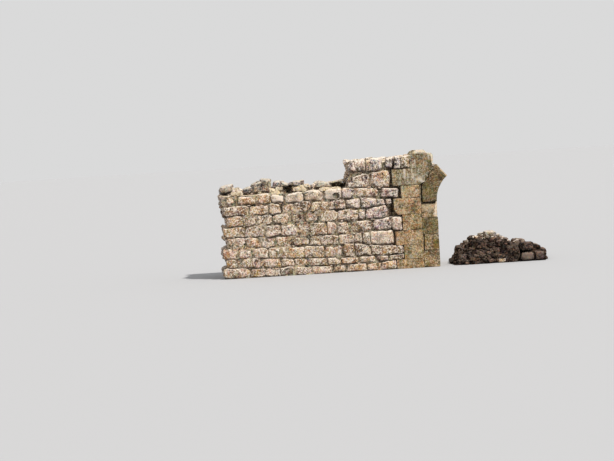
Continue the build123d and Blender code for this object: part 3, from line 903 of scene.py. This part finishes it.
for side, inward in ((front_face, 1), (back_face, -1)):
    for *outline, squareness, tone in loose_front:
        shift = 0 if inward > 0 else draw.uniform(-0.12, 0.12)
        outer = side + inward * draw.uniform(0.12, 0.26)
        faces = sorted((outer, outer + inward * draw.uniform(0.36, 0.52)))
        corners = [(jamb_face - along + shift, height) for along, height in outline]
        turn = (draw.uniform(-0.05, 0.05), 0, draw.uniform(-0.1, 0.1))
        lay_stone(loose, corners, faces, draw, tone, draw.uniform(0, 0.4), squareness, turn=turn)
place_piece(loose, "loose_stones", boulder_stone, ["wing_top_stones"])

packing = new_stone()
shade_painted_backs = ((4.84, 4.62, 2.55, 2.80), (4.64, 4.28, 2.55, 2.86), (3.36, 2.86, 2.55, 2.82))
lime_crumbs = 26
soil_strip = (2.15, 2.00, 3.07, 3.46)
lime_lumps = ((5.28, 4.80, 2.40, 2.78), (5.16, 4.86, 2.30, 2.60), (4.52, 3.94, 2.58, 2.80),
              (3.34, 2.98, 2.56, 2.66), (3.66, 3.34, 2.56, 2.68), (6.42, 6.05, 2.58, 2.70))


def wall_box(left, right_end, bottom, top, deep):
    """Two corners of a box in the wall, its ends measured leftwards from the jamb's face."""
    return Vector((jamb_face - left, deep[0], bottom)), Vector((jamb_face - right_end, deep[1], top))


for side, inward in ((front_face, 1), (back_face, -1)):
    # Stones behind the gaps under the slabs, painted dark as shade.
    for place in shade_painted_backs:
        deep = sorted((side + inward * 0.42, side + inward * 0.80))
        lay_block(packing, *wall_box(*place, deep), draw, -0.9, 0.0, 5, None)
    for place in lime_lumps:
        deep = sorted((side + inward * draw.uniform(0.03, 0.08), side + inward * 0.60))
        low, high = wall_box(*place, deep)
        lay_block(packing, low + Vector((0.04, 0, 0)), high - Vector((0.04, 0, 0.03)), draw, 1.1, 0.2, 3.2,
                  None, paleness=0.6)
        for _ in range(lime_crumbs):
            half = Vector([draw.uniform(0.03, 0.085) for _ in range(3)])
            at = Vector([draw.uniform(a + h, b - h) for a, b, h in zip(low, high, half * 0.8)])
            if draw.random() < 0.5:
                at.z = high.z - half.z * 1.2
            else:
                at.y = (deep[0] + half.y) if inward > 0 else (deep[1] - half.y)
            turn = leaning(draw, 0.5)
            lay_block(packing, at - half, at + half, draw, draw.uniform(0.8, 1.3), 0.2, 4, turn, coarse_block,
                      draw.uniform(0.3, 1.0))
soil_low, soil_high = wall_box(*soil_strip, (front_face + 0.02, front_face + 0.5))
lay_block(packing, soil_low, soil_high, draw, 0.5, 0.3, 6, None)
place_piece(packing, "lime_and_earth", core_lime)

# The far abutment: the lowest course of its jamb, two courses of its faces and the core between,
# painted darker than the near side as shade, darkest at the front, with soil in the joints. A few of its face
# stones are pale.
shade_painted_sandstone = stone_material(
    "shade_painted_sandstone", dark=(0.004, 0.002, 0.003), light=(0.125, 0.08, 0.062), second=(0.026, 0.02, 0.011),
    bleached=(0.40, 0.31, 0.25), lichen=0.22, rust=0.12, bleach_and_top_light=0.15, underside_shade=0.9, sheen=0.05, variety=0.4)
far_jamb_breaks = (
    ((-1, -1, 1), 0.12, (0, 0, 0.3), 0), ((1, -1, 1), 0.14, (0, 0, 0.2), 0),
    ((0, -1, 1), 0.06, (0.1, 0, 0.2), 0), ((-1, -1, 0), 0.05, (0, 0, 0.3), 0),
    ((1, -1, -1), 0.09, (0, 0, 0.4), 0),
)
# The front blocks keep the painted shade; the middle and back blocks are paler.
far_shade_fading = {"front": 0.0, "middle": 0.3, "back": 0.55}
for place in far_shade_fading:
    node = f"far_jamb_{place}"
    draw = random.Random(node)
    block = squared_stone(node, draw, draw.uniform(0.0, 0.3), draw.uniform(0.3, 0.6), far_jamb_breaks)
    for v in block.verts:
        v[noted(block)][3] = far_shade_fading[place]
    place_piece(block, f"{node}_block", shade_painted_sandstone, [node])

far_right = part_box("far_front_facing")[1][0]
far_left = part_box("far_front_facing")[0][0]
for side, outer, inward in (("front", front_face, 1), ("back", back_face, -1)):
    draw = random.Random(f"far {side}")
    wall = new_stone()
    for bottom, top, end in ((0, 0.32, far_right), (0.32, 0.63, far_left + 0.42)):
        at = far_left
        while at < end - 0.05:
            length = draw.uniform(0.34, 0.52)
            length = end - at if end - at - length < 0.2 else length
            faces = sorted((outer + inward * draw.uniform(-0.01, 0.02), outer + inward * facing_depth))
            # Stones near the far jamb's face are darker still, and the back face's stones paler: the dark of
            # the front is painted shade.
            tone = draw.uniform(0.5, 1.1) if at > far_left + 0.3 else draw.uniform(0.1, 0.4)
            grey = 0.4 if at < far_left + 0.1 and bottom == 0 and side == "front" else 0
            grey = draw.uniform(0.35, 0.75) if side == "back" else grey
            corners = ((at + 0.01, bottom + 0.008), (at + length - 0.01, bottom + 0.008),
                       (at + length - 0.012, top - draw.uniform(0.01, 0.05)), (at + 0.012, top - 0.012))
            lay_stone(wall, corners, faces, draw, tone, draw.uniform(0, 0.5), draw.uniform(3, 7), 8,
                      paleness=grey)
            at += length
    place_piece(wall, f"far_{side}_rubble", shade_painted_sandstone, [f"far_{side}_facing"])

far_core = core_block("far_core", -front_face - core_recess, lambda at: 0.22, 0.0)
far_tree = BVHTree.FromBMesh(far_core)
shade_painted_earth = stone_material(
    "shade_painted_earth", dark=(0.007, 0.005, 0.005), light=(0.055, 0.036, 0.028), second=(0.028, 0.02, 0.014),
    bleached=(0.16, 0.12, 0.09), lichen=0.0, rust=0.1, bleach_and_top_light=0.1, underside_shade=0.9, relief=0.03, sheen=0.05)
place_piece(far_core, "far_core_mass", shade_painted_earth, ["far_core"])

# The rubble of the fallen arch: a mound of broken stones of all sizes in earth, painted dark as shade,
# the stones less so towards the back, with a few pale ones on top. Two of the ring stones lie squared and pale
# on its crown.
mound_cell = 0.07
mound_low, mound_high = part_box("fallen_rubble")
solid_mound = bmesh.new()
solid_mound.from_mesh(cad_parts["fallen_rubble"].data)
solid_mound_tree = BVHTree.FromBMesh(solid_mound)
solid_mound.free()
mound = new_stone()
size_x, size_y = mound_high[0] - mound_low[0], mound_high[1] - mound_low[1]
rows, columns = round(size_x / mound_cell), round(size_y / mound_cell)
bmesh.ops.create_grid(mound, x_segments=rows, y_segments=columns, size=1)
bmesh.ops.scale(mound, vec=(size_x / 2, size_y / 2, 1), verts=mound.verts)
bmesh.ops.translate(mound, vec=((mound_low[0] + mound_high[0]) / 2, 0, 0), verts=mound.verts)
raised = set(points_of(bmesh.ops.extrude_face_region(mound, geom=mound.faces[:])))
layer = noted(mound)
for v in mound.verts:
    if v in raised:
        hit = solid_mound_tree.ray_cast(v.co + Vector((0, 0, 5)), down)[0]
        v.co.z = max(0.02, (hit.z if hit else 0.0) - 0.05 + 0.05 * noise.fractal(v.co * 3, 0.7, 2.1, 4))
    v[layer] = (0.3, 0.4, 0.3, 0)
bmesh.ops.recalc_face_normals(mound, faces=mound.faces)
mound_tree = BVHTree.FromBMesh(mound)
place_piece(mound, "mound_earth_mass", shade_painted_earth, ["fallen_rubble"])

draw = random.Random("mound stones")
heap = new_stone()
above_mound = ((mound_low[0] + 0.05, -1.02, 5), (mound_high[0] - 0.10, 1.02, 5))
scatter(heap, mound_tree, draw, 26, *above_mound, down, (0.28, 0.42), 0.45, (-0.4, 0.5), 0.9)
scatter(heap, mound_tree, draw, 460, *above_mound, down, (0.07, 0.24), 0.3, (-0.8, 1.1), 0.9)
for away in (-1, 1):
    beside = ((mound_low[0] + 0.1, away * 3, 0.03), (mound_high[0] - 0.1, away * 3, 0.24))
    scatter(heap, mound_tree, draw, 90, *beside, Vector((0, -away, 0)), (0.10, 0.26), 0.42, (-0.8, 1.1), 0.9)
above_far = ((far_left, -0.75, 5), (far_right - 0.15, 0.75, 5))
beyond_far = ((far_right + 2, -0.8, 0.03), (far_right + 2, 0.8, 0.3))
scatter(heap, far_tree, draw, 60, *above_far, down, (0.1, 0.28), 0.3, (0.0, 0.9), 0.9)
scatter(heap, far_tree, draw, 70, *beyond_far, -right, (0.1, 0.26), 0.42, (-0.2, 0.9), 0.9)
heap_tree = BVHTree.FromBMesh(heap)
place_piece(heap, "mound_stones", shade_painted_sandstone)

pale = new_stone()
pale_low, pale_high = (jamb_face + 0.95, -0.45, 5), (jamb_face + 2.75, 0.25, 5)
scatter(pale, heap_tree, draw, 34, pale_low, pale_high, down, (0.06, 0.15), 0.3, (-0.1, 0.7))
foot_stone = Vector((jamb_face + 1.96, front_face + 0.12, 0.08))
half = Vector((0.15, 0.12, 0.08))
lay_block(pale, foot_stone - half, foot_stone + half, draw, 0.8, 0.6, 4, (0, 0, 0.2))
place_piece(pale, "pale_mound_stones", rubble_stone)

fallen = new_stone()
draw = random.Random("fallen ring stones")
fallen_low, fallen_high = Vector(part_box("fallen_stones")[0]), Vector(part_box("fallen_stones")[1])
lay_block(fallen, Vector((fallen_high.x - 0.375, fallen_low.y, fallen_low.z - 0.03)),
          Vector((fallen_high.x, fallen_low.y + 0.38, fallen_high.z)), draw, 0.4, 0.2, 6, (0.05, 0.08, 0.15))
lay_block(fallen, Vector((fallen_low.x, fallen_high.y - 0.38, fallen_low.z - 0.04)),
          Vector((fallen_low.x + 0.375, fallen_high.y, fallen_low.z + 0.17)), draw, 0.3, 0.3, 7,
          (-0.06, -0.05, -0.2))
place_piece(fallen, "fallen_ring_stones", boulder_stone, ["fallen_stones"])

# The stage: a plain pale floor, one high lamp from the right and the front, as the sun stood, and
# even light from all round.
floor_mesh = bmesh.new()
bmesh.ops.create_grid(floor_mesh, x_segments=1, y_segments=1, size=600)
floor = add_object("floor", as_data("floor", floor_mesh))
pale_grey = bpy.data.materials.new("pale_floor")
pale_grey.use_nodes = True
floor_shader = pale_grey.node_tree.nodes["Principled BSDF"].inputs
floor_shader["Base Color"].default_value = (0.470, 0.478, 0.497, 1)
floor_shader["Roughness"].default_value = 0.9
floor.data.materials.append(pale_grey)

sun = bpy.data.lights.new("high_lamp", "SUN")
sun.energy = 3.5
sun.angle = radians(3)
sun.color = (1.0, 0.96, 0.90)
lamp = add_object("high_lamp", sun)
lamp.rotation_euler = Vector((0.62, -0.62, 1.25)).to_track_quat("Z", "Y").to_euler()

world = bpy.data.worlds.new("studio")
bpy.context.scene.world = world
world.use_nodes = True
tree = world.node_tree
paths = add_node(tree, "LightPath", {}).outputs
rays = {0: paths["Is Camera Ray"], 1: paths["Is Glossy Ray"]}
seen = add_node(tree, "Math", rays, operation="MAXIMUM").outputs[0]
light_strength, backdrop_strength = 0.52, 0.70
strength = add_node(tree, "Mix", {0: seen, 2: light_strength, 3: backdrop_strength}).outputs[0]
sky = tree.nodes["Background"]
sky.inputs["Color"].default_value = (1.0, 1.0, 1.0, 1)
tree.links.new(strength, sky.inputs["Strength"])

# The camera stands far off, square on to the front face and a little above it, and leans to the
# right, so that the level courses rise to the right in the picture.
pixel_size = 1 / 32
image_width = 614
camera_distance = 55.0
camera_height = radians(2.5)
camera_lean = radians(3.5)
aim = Vector((jamb_face - 4.11, front_face, springing - 0.67))
camera = bpy.data.cameras.new("camera")
camera.sensor_width = 36
camera.lens = camera.sensor_width * camera_distance / (image_width * pixel_size)
camera.clip_end = 2000
viewer = add_object("camera", camera)
back_off = Vector((0, -cos(camera_height), sin(camera_height)))
looking = (-back_off).to_track_quat("-Z", "Y").to_matrix().to_4x4()
viewer.matrix_world = (Matrix.Translation(aim + back_off * camera_distance) @ looking
                       @ Matrix.Rotation(-camera_lean, 4, "Z"))
bpy.context.scene.camera = viewer
bpy.context.scene.view_settings.view_transform = "Standard"
